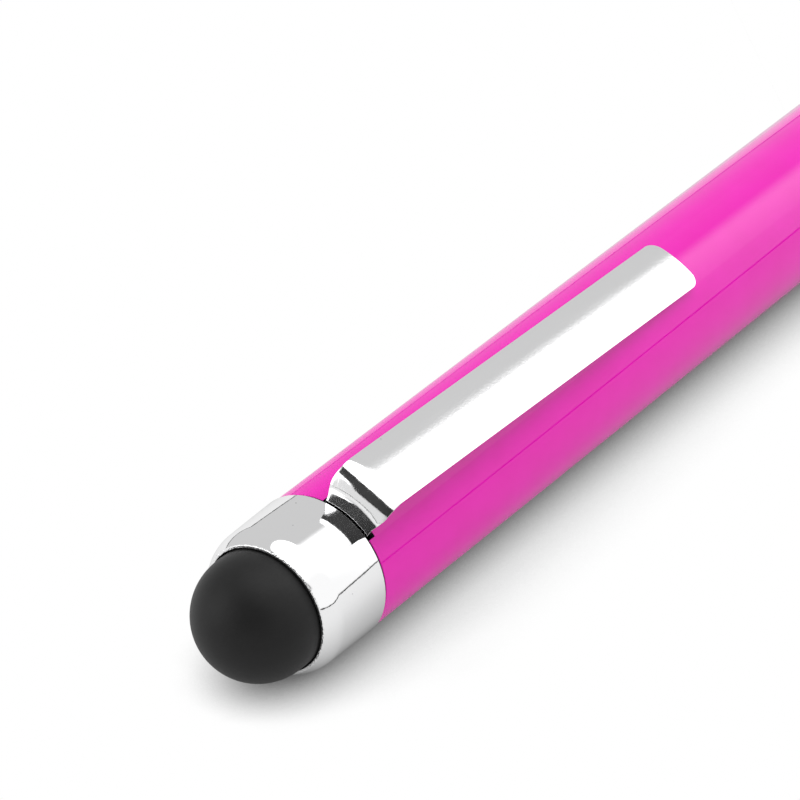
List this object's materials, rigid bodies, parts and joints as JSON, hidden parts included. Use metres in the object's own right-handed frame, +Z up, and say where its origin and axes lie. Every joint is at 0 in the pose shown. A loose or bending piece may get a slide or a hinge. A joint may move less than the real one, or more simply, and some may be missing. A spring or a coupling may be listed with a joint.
{
  "type": "stylus pen",
  "caption": "Twist-action ballpoint pen with a rubber stylus dome in a chrome collar, a sprung chrome pocket clip and lacquered barrels.",
  "frame": {"origin": "on the table under the middle of the pen, which lies on its collar and its lower barrel", "axes": "+X along the pen towards the writing end, +Z up; the clip leans 25 degrees from +Z towards -Y"},
  "size_m": [0.1404, 0.0097, 0.0122],
  "materials": {
    "tip_rubber": "matte black silicone",
    "chrome": "bright chrome plate",
    "pink_lacquer": "glossy hot pink lacquer on aluminium",
    "plug_plastic": "black moulded plastic",
    "mechanism_plastic": "white moulded acetal",
    "spring_steel": "drawn steel wire",
    "brass": "turned brass",
    "refill_plastic": "milky extruded plastic",
    "ink": "dark blue ink paste",
    "point_metal": "turned nickel silver"
  },
  "bodies": {
    "upper": {"upper_barrel": "pink_lacquer", "end_collar": "chrome", "end_plug": "plug_plastic", "stylus_tip": "tip_rubber", "cam_sleeve": "mechanism_plastic"},
    "clip": {"pocket_clip": "chrome"},
    "lower": {"lower_barrel": "pink_lacquer", "centre_ring": "chrome", "guide_tube": "mechanism_plastic", "snap_ring": "spring_steel", "thread_bush": "brass", "nose_cone": "chrome", "return_spring": "spring_steel"},
    "refill": {"slider": "mechanism_plastic", "drive_pin": "spring_steel", "refill_tube": "refill_plastic", "refill_plug": "plug_plastic", "ink_column": "ink", "point_holder": "brass", "writing_point": "point_metal"},
    "ball": {"writing_ball": "point_metal"}
  },
  "joints": [
    {"name": "twist", "type": "hinge", "parent": "upper", "child": "lower", "pos_m": [0.00196, 0, 0.00485], "axis": [1, 0, 0], "range_deg": [0, 180]},
    {"name": "refill_slide", "type": "slide", "parent": "lower", "child": "refill", "axis": [1, 0, 0], "range_m": [0, 0.0055], "deforming": ["return_spring"]},
    {"name": "clip_flex", "type": "hinge", "parent": "upper", "child": "clip", "pos_m": [-0.05979, -0.00201, 0.00915], "axis": [0, -0.9063, -0.4226], "range_deg": [0, 5], "stiffness_Nm_per_rad": 1.2},
    {"name": "ball_roll", "type": "hinge", "parent": "refill", "child": "ball", "pos_m": [0.06731, 0, 0.00485], "axis": [0, 1, 0], "continuous": true}
  ],
  "couplings": [
    {"joint": "refill_slide", "follows": "twist", "m_per_rad": 0.0017507}
  ]
}
